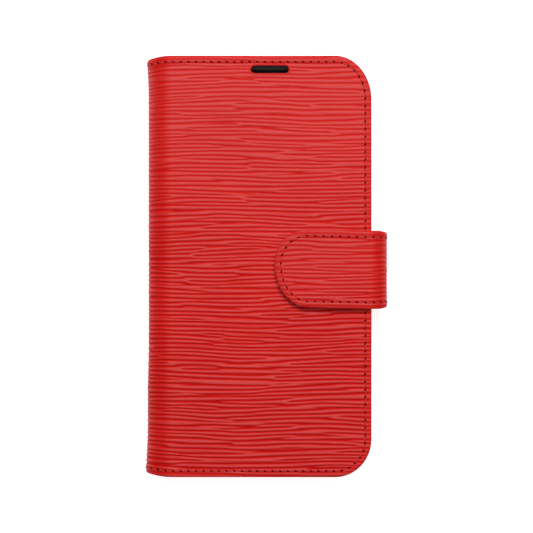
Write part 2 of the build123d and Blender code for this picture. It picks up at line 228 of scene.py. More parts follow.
class Fold:
    """A path in the XZ plane: from the middle of a side, round a bend, then in along a panel.
    On the side, pinch draws the ends in and flare and bulge swell it; skew tilts what lies on the panel."""

    def __init__(self, side_x, base_z, top_z, radius, inward, up, half, pinch, bulge, y_mid=0.0,
                 flare=(0.0, 0.0), skew=0.0):
        self.side_x, self.radius, self.inward, self.up = side_x, radius, inward, up
        self.bulge, self.skew = bulge, skew
        self.mid_z = (base_z + top_z) / 2
        self.straight = (top_z - base_z) / 2 - radius
        self.bend = radius * math.pi / 2
        self.half, self.y_mid, self.pinch, self.flare = half, y_mid, pinch, flare

    def length_to(self, x):
        """Flat length from the middle of the side to the panel's point at x."""
        return self.straight + self.bend + self.inward * (x - self.side_x) - self.radius

    def place(self, s, y, w):
        """Points in metres of the flat points (s, y, w), w out from the outer face."""
        a = np.clip((s - self.straight) / self.radius, 0, math.pi / 2)
        near_end = np.exp(-(self.half - np.abs(y)) / END_REACH)
        side = np.cos(a) ** 2
        y = y - np.sign(y) * self.pinch[0] * side ** self.pinch[1] * near_end
        low_end, high_end = self.flare
        bump = low_end * np.exp(-(((y + self.half - LOW_FLARE[0]) / LOW_FLARE[1]) ** 2))
        bump = bump + high_end * np.exp(-(((y - self.half + HIGH_FLARE[0]) / HIGH_FLARE[1]) ** 2))
        bump = bump + self.bulge[0] + self.bulge[1] * smoothstep(-self.half / 3, -self.half * 0.62, y)
        w = w + bump * side
        leg = np.maximum(s - self.straight - self.bend, 0)
        y = y + self.skew * leg
        x = self.side_x + self.inward * (self.radius * (1 - np.cos(a)) + leg - np.cos(a) * w)
        z = self.mid_z + self.up * (np.minimum(s, self.straight) + self.radius * np.sin(a) + np.sin(a) * w)
        return np.stack([x, y + self.y_mid, z], axis=-1) * MM

    def stretch(self, s):
        """The share of painted bend shade at s, where the gloss falls away: most where the bend turns down
        from the panel.
        """
        a = np.degrees(np.clip((s - self.straight) / self.radius, 0, math.pi / 2))
        return np.exp(-(((a - BEND_SHADE_AT) / BEND_SHADE_WIDTH) ** 2))

    def ends(self):
        """The two ends of the bend, in metres: the end of the panel and the start of the side."""
        x = self.side_x + self.inward * self.radius
        z = self.mid_z + self.up * self.straight
        panel = (x * MM, 0, (z + self.up * self.radius) * MM)
        side = (self.side_x * MM, 0, z * MM)
        return panel, side


SPINE_SHAPE = dict(pinch=(1.2, 1.0), flare=(0.55, 0.45), bulge=(0.6, 0.36))
STRAP_SHAPE = dict(y_mid=STRAP_Y, pinch=(0.5, 2.0), bulge=(0.25, 0.0))
FRONT = Fold(SPINE_X, 0, TOP_Z, FOLD_R, inward=1, up=1, half=HALF_H, **SPINE_SHAPE)
BACK = Fold(SPINE_X, 0, TOP_Z, FOLD_R, inward=1, up=-1, half=HALF_H, **SPINE_SHAPE)
STRAP_UP = Fold(STRAP_X, STRAP_BASE, STRAP_TOP, STRAP_R, inward=-1, up=1, half=STRAP_HALF, skew=0.018,
                **STRAP_SHAPE)
STRAP_DOWN = Fold(STRAP_X, STRAP_BASE, STRAP_TOP, STRAP_R, inward=-1, up=-1, half=STRAP_HALF, **STRAP_SHAPE)


# ---------- flat meshes
def steps(low, high, step):
    """Evenly spaced values from low to high, about one step apart."""
    return np.linspace(low, high, max(2, int(round(abs(high - low) / step)) + 1))


def quarter(length, half, rx, ry, inset, step):
    """A quarter ellipse from the free end to the upper long edge, drawn in by inset, with its normals."""
    angle = steps(0, math.pi / 2, step / max(ry - inset, step))
    normal = np.stack([np.cos(angle) / rx, np.sin(angle) / ry], axis=1)
    normal /= np.linalg.norm(normal, axis=1, keepdims=True)
    points = np.stack([length - rx + rx * np.cos(angle), half - ry + ry * np.sin(angle)], axis=1)
    return points - normal * inset, normal


def free_end(length, half, corner, inset, step):
    """The outline's free end drawn in by inset, from the lower long edge to the upper, with its normals.
    A corner is its width, then its height at the lower edge and at the upper."""
    rx, low_ry, high_ry = corner
    low, low_normal = quarter(length, half, rx, low_ry, inset, step)
    high, high_normal = quarter(length, half, rx, high_ry, inset, step)
    flat_y = steps(low_ry - half, half - high_ry, step)[1:-1]
    flat = np.stack([np.full_like(flat_y, length - inset), flat_y], axis=1)
    flat_normal = np.tile([1.0, 0.0], (len(flat), 1))
    mirror = np.array([1.0, -1.0])
    points = np.concatenate([(low * mirror)[::-1], flat, high])
    normals = np.concatenate([(low_normal * mirror)[::-1], flat_normal, high_normal])
    return points, normals


class Flat:
    """A mesh in flat coordinates: points (s, y), depth w, and how much grain each point takes."""

    def __init__(self):
        self.points, self.w, self.mask, self.faces = [], [], [], []
        self.count = 0

    def add(self, points, w, mask):
        """Adds points and gives their numbers."""
        self.points.append(points)
        self.w.append(np.broadcast_to(w, len(points)).astype(float))
        self.mask.append(np.broadcast_to(mask, len(points)).astype(float))
        first = self.count
        self.count += len(points)
        return np.arange(first, self.count)

    def bridge(self, a, b, closed=False):
        """A strip of faces between two rows of as many points."""
        if closed:
            a, b = np.append(a, a[0]), np.append(b, b[0])
        self.faces.append(np.stack([a[:-1], a[1:], b[1:], b[:-1]], axis=1))

    def arrays(self):
        """Points, depths, grain and faces, without the points that no face uses."""
        points, w, mask = np.concatenate(self.points), np.concatenate(self.w), np.concatenate(self.mask)
        faces = np.concatenate(self.faces)
        used = np.zeros(len(points), bool)
        used[faces.ravel()] = True
        renumber = np.cumsum(used) - 1
        return points[used], w[used], mask[used], renumber[faces]


def grid_quads(grid):
    return np.stack([grid[:-1, :-1], grid[:-1, 1:], grid[1:, 1:], grid[1:, :-1]], axis=-1)


def edge_profile(thickness, roll, groove, puff, grain_at_edge, turn_in):
    """(inset, w, grain) of the rings from the band's inner end, over the seam, round the edge and under."""
    rings = []
    for d in (2.62, 2.5, 2.42, 2.35, 2.28, 2.2, 2.08, 1.9, 1.65, 1.4, 1.15, roll + 0.06):
        swell = puff * math.exp(-(((d - 1.4) / 0.5) ** 2))
        w = swell - groove * math.exp(-(((d - SEAM_INSET) / GROOVE_HALF) ** 2))
        keep = 1 - 0.75 * math.exp(-(((d - SEAM_INSET) / 0.3) ** 2))
        rings.append((d, w, keep * (1 - 0.35 * float(smoothstep(2.2, 1.0, d)))))
    for a in np.radians((20, 38, 55, 72, 90)):
        keep = grain_at_edge + 0.35 * math.cos(a)
        rings.append((roll * (1 - math.sin(a)), -roll * (1 - math.cos(a)), keep))
    under = 0.5
    rings.append((0.0, -(thickness - under + roll) / 2, grain_at_edge))
    for a in np.radians((0, 30, 60, 90)):
        rings.append((under * (1 - math.cos(a)), -thickness + under * (1 - math.sin(a)), 0.0))
    rings.append((turn_in, -thickness, 0.0))
    rings.append((turn_in + 0.1, -thickness + 0.4, 0.0))
    return rings


def flat_panel(length, half, corner, step_s, step_y, band, rings, holes=()):
    """A panel open at s = 0. With a corner its free end is rounded and edged; without, it is left open."""
    flat = Flat()
    if corner:
        end, end_normals = free_end(length, half, corner, band, step_y)
    else:
        end_y = steps(-(half - band), half - band, step_y)
        end = np.stack([np.full_like(end_y, length), end_y], axis=1)
    t = np.linspace(0, 1, int(round(length / step_s)) + 1)
    rows, columns = len(end), len(t)
    s = end[:, :1] * t[None, :]
    y = np.broadcast_to(end[:, 1:], s.shape)
    grid = flat.add(np.stack([s.ravel(), y.ravel()], axis=1), 0, 1).reshape(rows, columns)
    keep = np.ones((rows - 1, columns - 1), bool)
    for hole in holes:
        cut_hole(flat, grid, keep, s, y, **hole)
    flat.faces.append(grid_quads(grid)[keep])
    down, up = np.tile([0.0, -1.0], (columns, 1)), np.tile([0.0, 1.0], (columns, 1))
    if corner:
        loop = np.concatenate([grid[0], grid[1:-1, -1], grid[-1, ::-1]])
        normals = np.concatenate([down, end_normals[1:-1], up])
        loops = [(loop, normals)]
    else:
        loops = [(grid[0], down), (grid[-1, ::-1], up)]
    for loop, normals in loops:
        edge_rings(flat, loop, normals, band, rings)
    return flat


def edge_rings(flat, loop, normals, band, rings):
    """Carries a mesh's border on over the rings, each at its own inset from the outline."""
    start = np.concatenate(flat.points)[loop]
    previous = loop
    for d, w, mask in rings:
        ring = flat.add(start + normals * (band - d), w, mask)
        flat.bridge(ring, previous)
        previous = ring


def cut_hole(flat, grid, keep, s, y, centre, core, radius, margin, rings):
    """Cuts a round-cornered hole: the grid is opened and lofted to the hole's outline and down its wall."""
    offset = np.stack([s - centre[0], y - centre[1]], axis=-1)
    gap = np.linalg.norm(offset - np.clip(offset, -np.array(core), np.array(core)), axis=-1) - radius
    row, column = np.nonzero(gap < margin)
    j0, j1, i0, i1 = row.min() - 1, row.max() + 1, column.min() - 1, column.max() + 1
    keep[j0:j1, i0:i1] = False
    loop = np.concatenate(
        [grid[j0, i0:i1], grid[j0:j1, i1], grid[j1, i0 + 1 : i1 + 1][::-1], grid[j0 + 1 : j1 + 1, i0][::-1]]
    )
    outer = np.concatenate(flat.points)[loop]
    inner = np.array(centre) + np.clip(outer - centre, -np.array(core), np.array(core))
    direction = outer - inner
    direction /= np.linalg.norm(direction, axis=1, keepdims=True)
    away = np.linalg.norm(outer - inner, axis=1, keepdims=True) - radius
    previous = loop
    for share in (0.75, 0.5, 0.25):
        reach = rings[0][0] + (away - rings[0][0]) * share
        ring = flat.add(inner + direction * (radius + reach), 0, smoothstep(0.2, 1.0, reach[:, 0]))
        flat.bridge(previous, ring, closed=True)
        previous = ring
    for reach, w, mask in rings:
        ring = flat.add(inner + direction * (radius + reach), w, mask)
        flat.bridge(previous, ring, closed=True)
        previous = ring


def hole_rings(depth, roll, rim, reach=0.62):
    """(reach, w, grain) from round a hole, over its rolled rim and down its wall."""
    rings = [(reach, 0.15 * rim, 0.5), (reach * 0.8, 0.6 * rim, 0.3), (reach * 0.6, rim, 0.15)]
    for a in np.radians((12, 25, 50, 72, 90)):
        rings.append((roll * (1 - math.sin(a)) * 0.8, 0.8 * rim - roll * (1 - math.cos(a)), 0.05))
    rings += [(0.0, -depth * 0.6, 0.0), (0.0, -depth, 0.0)]
    return rings


# the grain's share of its depth towards the top of the case, and the heights between which it fades
TOP_SHARE = 0.55
FADE_FOOT, FADE_TOP = -30.0, 70.0
UV_SCALE = 10


def build(name, flat, fold, material, side=1, base_w=0.0, depth=GRAIN_DEPTH, grain_side=1, grain_y=0.0,
          tilt=0.0):
    """A Blender object from a flat mesh: grain added, folded into place, with its flat coordinates as UVs.
    With side -1 it faces into the case, and w is measured inwards."""
    points, w, mask, faces = flat.arrays()
    s, y = points[:, 0], points[:, 1]
    relief = grain(grain_side * s, y + grain_y - tilt * s) if depth else np.ones(len(s))
    fade = TOP_SHARE + (1 - TOP_SHARE) * smoothstep(FADE_TOP, FADE_FOOT, y + grain_y)
    lift = depth * fade * mask * (relief - 1)
    co = fold.place(s, y, side * (base_w + w + lift))
    if fold.up * fold.inward * side > 0:
        faces = faces[:, ::-1]
    # painted light: the colour value is the grain's height, which the leather's ramp paints as shade in the
    # grooves and gloss on the crests, less BEND_SHADE, painted shade on the bends, and RIM_SHADE, painted
    # shade along the smooth border, the edges and the seam's groove
    relief_with_painted_light = 1 + (relief - 1) * mask * fade - BEND_SHADE * fold.stretch(s) - RIM_SHADE * (1 - mask)
    uv = np.stack([s, y + grain_y], axis=1) * MM * UV_SCALE
    return finish_mesh(name, co, faces, material, uv, relief=relief_with_painted_light)


def finish_mesh(name, co, faces, material, uv, relief=None):
    """An object whose mesh carries flat coordinates and, for its colours, the height of its grain less the
    painted shade on bends and borders.
    """
    mesh = bpy.data.meshes.new(name)
    mesh.from_pydata(co.tolist(), [], faces.tolist())
    mesh.validate()
    layer = mesh.uv_layers.new(name="flat")
    corner = np.zeros(len(mesh.loops), np.int32)
    mesh.loops.foreach_get("vertex_index", corner)
    layer.data.foreach_set("uv", uv[corner].astype(np.float32).ravel())
    if relief is not None:
        attribute = mesh.attributes.new("relief", "FLOAT", "POINT")
        attribute.data.foreach_set("value", np.clip(relief, 0, 1.2).astype(np.float32))
    return smooth_object(name, mesh, material)


def plain_mesh(name, co, faces, material):
    """An object from points and lists of corners."""
    mesh = bpy.data.meshes.new(name)
    mesh.from_pydata(co.tolist(), [], faces)
    return smooth_object(name, mesh, material)


def smooth_object(name, mesh, material):
    mesh.shade_smooth()
    mesh.materials.append(material)
    obj = bpy.data.objects.new(name, mesh)
    bpy.context.scene.collection.objects.link(obj)
    return obj


# ---------- stitches
def run_along(line):
    """The length run from a line's start to each of its points."""
    return np.concatenate([[0], np.cumsum(np.linalg.norm(np.diff(line, axis=0), axis=1))])


def points_at(line, run, at):
    """The points of a line at the given lengths along it."""
    return np.stack([np.interp(at, run, line[:, k]) for k in (0, 1)], axis=1)


def stations(line, pitch, reach):
    """Centres and directions of evenly spaced stitches along a line."""
    line = np.array(line, float)
    run = run_along(line)
    count = max(1, int(round(run[-1] / pitch)))
    at = (np.arange(count) + 0.5) * run[-1] / count
    direction = points_at(line, run, at + reach) - points_at(line, run, at - reach)
    return points_at(line, run, at), direction / np.linalg.norm(direction, axis=1, keepdims=True)


def seam_path(length, half, corner, inset, pitch):
    """Centres and directions of the stitches along a seam set in from the outline."""
    if corner:
        end, _ = free_end(length, half, corner, inset, 0.3)
        lines = [np.concatenate([[[0.0, -(half - inset)]], end, [[0.0, half - inset]]])]
    else:
        lines = [[[0.0, y], [length, y]] for y in (inset - half, half - inset)]
    centres, directions = zip(*[stations(line, pitch, 0.2) for line in lines])
    return np.concatenate(centres), np.concatenate(directions)


def turned(direction, angle):
    """Directions turned anticlockwise by an angle."""
    c, s = math.cos(angle), math.sin(angle)
    x, y = direction[:, 0], direction[:, 1]
    return np.stack([x * c - y * s, x * s + y * c], axis=1)


THREAD_R = 0.25
STITCH_LENGTH = 2.15
STITCH_SLANT = math.radians(7)
HOLE_SLANT = math.radians(27)
# a stitch's rise in the middle, its dive at both ends, its unevenness, and a needle hole's height
ARCH, DIVE, JITTER = 0.04, 0.30, 0.035
HOLE_LIFT = 0.045


def stitch_mesh(name, path, fold, material, turn, base_w, side=1, length=STITCH_LENGTH):
    """Separate stitches: short arched lengths of thread that dive into the leather at both ends."""
    centres, directions = path
    directions = turned(directions, turn * STITCH_SLANT)
    normals = turned(directions, math.pi / 2)
    along = np.linspace(-1, 1, 9)
    around = np.arange(8) * 2 * math.pi / 8
    radius = THREAD_R * np.clip(1 - along**10, 0.35, 1)
    arch = ARCH * (1 - along**2) - DIVE * np.abs(along) ** 9
    jitter = np.random.default_rng(5).normal(0, JITTER, (len(centres), 1, 1))
    offset = (radius[:, None] * np.cos(around)[None, :])[None] + jitter
    up = (arch[:, None] + radius[:, None] * np.sin(around)[None, :])[None]
    run = (along * length / 2)[None, :, None]
    s, y = [centres[:, k][:, None, None] + directions[:, k][:, None, None] * run
            + normals[:, k][:, None, None] * offset for k in (0, 1)]
    w = np.broadcast_to(side * (base_w + up), s.shape)
    co = fold.place(s.ravel(), y.ravel(), w.ravel())
    index = np.arange(s.size).reshape(s.shape)
    a, b = index[:, :-1, :], index[:, 1:, :]
    quads = np.stack([a, np.roll(a, -1, 2), np.roll(b, -1, 2), b], axis=-1).reshape(-1, 4)
    uv = np.stack([np.broadcast_to(run, s.shape).ravel(), np.broadcast_to(around, s.shape).ravel()], axis=1)
    return finish_mesh(name, co, quads, material, uv)


def hole_mesh(name, path, pitch_half, fold, material, turn, groove, base_w, side=1, size=(0.6, 0.29)):
    """The needle holes between stitches: small slanted dark patches of painted shade, standing for the shade
    inside the holes, laid just above the seam's groove.
    """
    centres, directions = path
    centres = centres + directions * pitch_half
    directions = turned(directions, turn * HOLE_SLANT)
    normals = turned(directions, math.pi / 2)
    angle = np.arange(14) * 2 * math.pi / 14
    ring = np.stack([size[0] * np.cos(angle), size[1] * np.sin(angle)], axis=1)
    shape = np.concatenate([[[0.0, 0.0]], ring * 0.6, ring])
    across = directions[:, None, :] * shape[None, :, :1] + normals[:, None, :] * shape[None, :, 1:]
    points = centres[:, None, :] + across
    straight = turned(path[1], math.pi / 2)
    from_seam = np.abs((across * straight[:, None, :]).sum(2))
    w = side * (base_w - groove * np.exp(-((from_seam / GROOVE_HALF) ** 2)) + HOLE_LIFT)
    co = fold.place(points[..., 0].ravel(), points[..., 1].ravel(), w.ravel())
    faces = []
    n = len(angle)
    for k in range(len(centres)):
        first = k * len(shape)
        inner = first + 1 + np.arange(n)
        outer = inner + n
        faces += [[first, inner[i], inner[(i + 1) % n]] for i in range(n)]
        faces += [[inner[i], outer[i], outer[(i + 1) % n], inner[(i + 1) % n]] for i in range(n)]
    return plain_mesh(name, co, [[int(v) for v in f] for f in faces], material)


# ---------- materials
class Nodes:
    """A small helper that adds shader nodes to a new material."""

    def __init__(self, name):
        self.material = bpy.data.materials.new(name)
        self.material.use_nodes = True
        self.tree = self.material.node_tree
        self.shader = self.tree.nodes["Principled BSDF"]

    def add(self, kind, **settings):
        node = self.tree.nodes.new(kind)
        for key, value in settings.items():
            if key in node.inputs:
                node.inputs[key].default_value = value
            else:
                setattr(node, key, value)
        return node

    def link(self, source, target):
        self.tree.links.new(source, target)

    def ramp(self, source, stops):
        node = self.add("ShaderNodeValToRGB")
        while len(node.color_ramp.elements) < len(stops):
            node.color_ramp.elements.new(0.5)
        for element, (position, colour) in zip(node.color_ramp.elements, stops):
            element.position = position
            element.color = (*colour, 1)
        self.link(source, node.inputs["Fac"])
        return node.outputs["Color"]

    def noise(self, vector, scale, detail=3.0, stretch=None, roughness=0.5):
        if stretch:
            mapping = self.add("ShaderNodeMapping")
            mapping.inputs["Scale"].default_value = stretch
            self.link(vector, mapping.inputs["Vector"])
            vector = mapping.outputs["Vector"]
        node = self.add("ShaderNodeTexNoise", Scale=scale, Detail=detail, Roughness=roughness)
        self.link(vector, node.inputs["Vector"])
        return node.outputs["Fac"]

    def value_range(self, source, low, high):
        node = self.add("ShaderNodeMapRange")
        node.inputs["To Min"].default_value = low
        node.inputs["To Max"].default_value = high
        self.link(source, node.inputs["Value"])
        return node.outputs["Result"]

    def bump(self, height, distance, strength=1.0, after=None):
        node = self.add("ShaderNodeBump")
        node.inputs["Distance"].default_value = distance
        node.inputs["Strength"].default_value = strength
        self.link(height, node.inputs["Height"])
        if after is not None:
            self.link(after, node.inputs["Normal"])
        return node.outputs["Normal"]

    def mix(self, factor, a, b):
        """Colour a with a share of colour b; a colour's sockets are numbers 6 and 7 in, 2 out."""
        node = self.add("ShaderNodeMix", data_type="RGBA")
        node.inputs[0].default_value = factor
        self.link(a, node.inputs[6])
        self.link(b, node.inputs[7])
        return node.outputs[2]

    def set(self, **values):
        for key, value in values.items():
            self.shader.inputs[key.replace("_", " ")].default_value = value


# painted light in the leather's colour by the grain's height: the valley and side colours paint shade in the
# grooves, the crest colour paints the gloss on the ridges; RED_MID is the leather's own red
RED_VALLEY_PAINTED_SHADE = (0.40, 0.0010, 0.0008)
RED_SIDE_PAINTED_SHADE = (0.50, 0.0036, 0.0026)
RED_MID = (0.570, 0.0205, 0.0180)
RED_CREST_PAINTED_GLOSS = (0.61, 0.0735, 0.0710)


def wave_leather():
    m = Nodes("wave_leather")
    uv = m.add("ShaderNodeUVMap", uv_map="flat").outputs["UV"]
    relief = m.add("ShaderNodeAttribute", attribute_name="relief").outputs["Fac"]
    # the ramp turns the relief into painted shade in the grooves and a painted gloss on the crests
    colour = m.ramp(relief, [(0.0, RED_VALLEY_PAINTED_SHADE), (0.35, RED_SIDE_PAINTED_SHADE), (0.7, RED_MID), (1.0, RED_CREST_PAINTED_GLOSS)])
    clouds = m.noise(uv, 3.0, detail=2.0)
    darker = m.mix(0.10, colour, m.ramp(clouds, [(0.3, (0.30, 0.006, 0.004)), (0.7, (0.75, 0.03, 0.024))]))
    m.link(darker, m.shader.inputs["Base Color"])
    streak = m.noise(uv, 26.0, detail=4.0, stretch=(0.35, 4.0, 1.0), roughness=0.6)
    pores = m.noise(uv, 120.0, detail=2.0, stretch=(0.8, 1.6, 1.0))
    normal = m.bump(streak, 0.00007)
    normal = m.bump(pores, 0.000022, after=normal)
    m.link(normal, m.shader.inputs["Normal"])
    m.link(m.value_range(relief, 1.0, 0.38), m.shader.inputs["Roughness"])
    m.set(IOR=1.45, Specular_IOR_Level=0.11, Sheen_Weight=0.10, Sheen_Roughness=0.3)
    return m.material


def smooth_leather():
    m = Nodes("smooth_leather")
    coords = m.add("ShaderNodeTexCoord").outputs["Object"]
    pebbles = m.add("ShaderNodeTexVoronoi", Scale=1500.0)
    m.link(coords, pebbles.inputs["Vector"])
    clouds = m.noise(coords, 60.0, detail=3.0)
    colour = m.ramp(clouds, [(0.3, (0.40, 0.008, 0.006)), (0.7, (0.50, 0.013, 0.010))])
    m.link(colour, m.shader.inputs["Base Color"])
    normal = m.bump(pebbles.outputs["Distance"], 0.00005, strength=0.6)
    m.link(normal, m.shader.inputs["Normal"])
    m.link(m.value_range(clouds, 0.42, 0.55), m.shader.inputs["Roughness"])
    m.set(IOR=1.45, Specular_IOR_Level=0.22)
    return m.material


def microfibre():
    m = Nodes("microfibre")
    coords = m.add("ShaderNodeTexCoord").outputs["Object"]
    nap = m.noise(coords, 2600.0, detail=3.0)
    patches = m.noise(coords, 90.0, detail=3.0)
    base = m.ramp(patches, [(0.3, (0.30, 0.008, 0.007)), (0.7, (0.42, 0.013, 0.011))])
    colour = m.mix(0.3, base, m.ramp(nap, [(0.3, (0.18, 0.004, 0.004)), (0.7, (0.60, 0.03, 0.026))]))
    m.link(colour, m.shader.inputs["Base Color"])
    m.link(m.bump(nap, 0.00008), m.shader.inputs["Normal"])
    m.set(Roughness=0.92, Specular_IOR_Level=0.2, Sheen_Weight=0.12, Sheen_Roughness=0.4)
    return m.material


def sewing_thread():
    m = Nodes("sewing_thread")
    uv = m.add("ShaderNodeUVMap", uv_map="flat").outputs["UV"]
    twist = m.add("ShaderNodeTexWave", Scale=0.9, Distortion=0.4, bands_direction="DIAGONAL")
    m.link(uv, twist.inputs["Vector"])
    colour = m.ramp(twist.outputs["Fac"], [(0.0, (0.52, 0.012, 0.012)), (0.6, (0.62, 0.026, 0.025))])
    m.link(colour, m.shader.inputs["Base Color"])
    m.link(m.bump(twist.outputs["Fac"], 0.00004, strength=0.6), m.shader.inputs["Normal"])
    m.set(Roughness=0.7, Specular_IOR_Level=0.2)
    return m.material


def needle_hole_shade():
    m = Nodes("needle_hole_shade")
    coords = m.add("ShaderNodeTexCoord").outputs["Object"]
    shade = m.noise(coords, 900.0)
    # painted shade: the dark colour stands for the shade inside the needle holes
    colour = m.ramp(shade, [(0.3, (0.042, 0.0014, 0.0016)), (0.8, (0.105, 0.004, 0.004))])
    m.link(colour, m.shader.inputs["Base Color"])
    m.set(Roughness=0.95, Specular_IOR_Level=0.05)
    return m.material


def moulded_shell():
    m = Nodes("moulded_shell")
    coords = m.add("ShaderNodeTexCoord").outputs["Object"]
    texture = m.noise(coords, 3000.0, detail=2.0)
    haze = m.noise(coords, 70.0, detail=3.0)
    colour = m.ramp(haze, [(0.3, (0.0045, 0.0045, 0.005)), (0.7, (0.009, 0.009, 0.010))])
    m.link(colour, m.shader.inputs["Base Color"])
    m.link(m.bump(texture, 0.00003), m.shader.inputs["Normal"])
    m.link(m.value_range(haze, 0.42, 0.58), m.shader.inputs["Roughness"])
    m.set(IOR=1.5)
    return m.material


def fibre_material(name, dark, light, scale, roughness, metallic=0.0):
    """A material for the pieces inside: board, foam, steel and magnets."""
    m = Nodes(name)
    coords = m.add("ShaderNodeTexCoord").outputs["Object"]
    fibres = m.noise(coords, scale, detail=4.0, stretch=(1.0, 0.2, 1.0))
    m.link(m.ramp(fibres, [(0.3, dark), (0.7, light)]), m.shader.inputs["Base Color"])
    m.link(m.bump(fibres, 0.00004), m.shader.inputs["Normal"])
    m.link(m.value_range(fibres, roughness - 0.08, roughness + 0.05), m.shader.inputs["Roughness"])
    m.set(Metallic=metallic)
    return m.material


LEATHER = wave_leather()
SMOOTH = smooth_leather()
LINING = microfibre()
THREAD = sewing_thread()
HOLE = needle_hole_shade()
SHELL = moulded_shell()
FOAM = fibre_material("foam", (0.62, 0.60, 0.56), (0.80, 0.79, 0.75), scale=1600.0, roughness=0.9)


# ---------- leather panels
PANEL_GROOVE = 0.10
LINING_GROOVE = 0.09
HOLE_DEPTH = 2.4
PANEL_RINGS = edge_profile(PANEL_T, roll=0.8, groove=PANEL_GROOVE, puff=0.10, grain_at_edge=0.45,
                           turn_in=RIM + 0.2)
STRAP_RINGS = edge_profile(STRAP_T, roll=0.7, groove=PANEL_GROOVE, puff=0.12, grain_at_edge=0.3,
                           turn_in=1.0)
STEP_S, STEP_Y = ((0.5, 0.2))
panel_length = FRONT.length_to(EDGE_X)
slot_at = (FRONT.length_to(PHONE_X), SLOT_Y)
window_at = (BACK.length_to(WINDOW_X), WINDOW_Y)
slot = dict(centre=slot_at, core=SLOT_CORE, radius=SLOT_R, margin=0.7,
            rings=hole_rings(HOLE_DEPTH, roll=0.35, rim=0.07))
window = dict(centre=window_at, core=WINDOW_CORE, radius=WINDOW_R, margin=0.12,
              rings=hole_rings(HOLE_DEPTH, roll=0.3, rim=0.0, reach=0.2))

front_flat = flat_panel(panel_length, HALF_H, CORNER, STEP_S, STEP_Y, BAND, PANEL_RINGS, [slot])
back_flat = flat_panel(panel_length, HALF_H, CORNER, STEP_S, STEP_Y, BAND, PANEL_RINGS, [window])
leather_front = build("leather_front", front_flat, FRONT, LEATHER)
leather_back = build("leather_back", back_flat, BACK, LEATHER, grain_side=-1)

tip_length = STRAP_UP.length_to(TIP_X)
ROOT_OVERLAP = 0.4
root_length = STRAP_DOWN.length_to(EDGE_X - ROOT_OVERLAP)
STRAP_GRAIN = 31.0
STRAP_TILT = 0.045
tip_flat = flat_panel(tip_length, STRAP_HALF, TIP_CORNER, STEP_S, STEP_Y, BAND, STRAP_RINGS)
root_flat = flat_panel(root_length, STRAP_HALF, None, STEP_S, STEP_Y, BAND, STRAP_RINGS)
strap_front = build("strap_leather_front", tip_flat, STRAP_UP, LEATHER, grain_side=-1, grain_y=STRAP_GRAIN,
                    tilt=-STRAP_TILT)
strap_back = build("strap_leather_back", root_flat, STRAP_DOWN, LEATHER, grain_side=1, grain_y=STRAP_GRAIN,
                   tilt=STRAP_TILT)


# ---------- linings
def lining_rings(seam_inset):
    """(inset, w, grain) of a lining's edge: flat, pressed in along the seam, rolled down at the outline."""
    rings = []
    for d in (2.7, 2.2, 1.9, 1.6, 1.4, 1.28, 1.15, 1.02, 0.9, 0.7, 0.4):
        rings.append((d, -LINING_GROOVE * math.exp(-(((d - seam_inset) / 0.2) ** 2)), 0))
    rings += [(0.22, -0.02, 0), (0.09, -0.08, 0), (0.02, -0.18, 0), (0.0, -0.34, 0)]
    return rings


LINING_STEP = 1.5
LINING_LIFT = 0.02
LINING_W = PANEL_T + LINING_LIFT
STRAP_RIM = 0.8
LINING_T = 0.5
HOLE_STEP = 0.05
lining_slot = dict(slot, radius=SLOT_R - HOLE_STEP, margin=0.5,
                   rings=hole_rings(LINING_T, roll=0.15, rim=0.0, reach=0.3))
lining_window = dict(window, radius=WINDOW_R - HOLE_STEP,
                     rings=hole_rings(LINING_T, roll=0.12, rim=0.0, reach=0.15))


def lining(name, fold, length, half, corner, inset, base_w, holes=()):
    """The smooth sheet on a panel's inner face, set in from the outline."""
    far = length - inset if corner else length
    shape = tuple(size - inset for size in corner) if corner else None
    rings = lining_rings(SEAM_INSET - inset)
    band = BAND - inset + 0.05 if holes else BAND
    rings = [ring for ring in rings if ring[0] < band]
    flat = flat_panel(far, half - inset, shape, LINING_STEP, LINING_STEP / 3, band, rings, holes)
    return build(name, flat, fold, LINING, side=-1, base_w=base_w, depth=0)


lining_front = lining("lining_front", FRONT, panel_length, HALF_H, CORNER, RIM, LINING_W, [lining_slot])
lining_back = lining("lining_back", BACK, panel_length, HALF_H, CORNER, RIM, LINING_W, [lining_window])
strap_lining_front = lining("strap_lining_front", STRAP_UP, tip_length, STRAP_HALF, TIP_CORNER, STRAP_RIM,
                            STRAP_T + LINING_LIFT)
strap_lining_back = lining("strap_lining_back", STRAP_DOWN, root_length, STRAP_HALF, None, STRAP_RIM,
                           STRAP_T + LINING_LIFT)


PADDING_RINGS = ((2.0, 0, 0), (0.4, 0, 0), (0.1, -0.08, 0), (0.0, -0.25, 0), (0.0, -0.5, 0), (0.1, -0.65, 0),
                 (1.5, -0.7, 0))
PADDING_INSET = 5.0
PADDING_W = 1.95
PADDING_SHARE = 0.55


def padding(name, fold):
    """Half of the spine's foam strip, a flat tray that follows the spine between leather and lining."""
    reach = fold.straight + PADDING_SHARE * fold.bend
    flat = flat_panel(reach, HALF_H - PADDING_INSET, None, step_s=1.5, step_y=3.0, band=2.2,
                      rings=PADDING_RINGS)
    return build(name, flat, fold, FOAM, side=-1, base_w=PADDING_W, depth=0)


padding_front = padding("padding_front", FRONT)
padding_back = padding("padding_back", BACK)


# ---------- seams of the panels and the strap
THREAD_W = -PANEL_GROOVE - 0.02
cover_path = seam_path(panel_length, HALF_H, CORNER, SEAM_INSET, COVER_STITCH)
tip_path = seam_path(tip_length, STRAP_HALF, TIP_CORNER, SEAM_INSET, STRAP_STITCH)
root_path = seam_path(root_length, STRAP_HALF, None, SEAM_INSET, STRAP_STITCH)


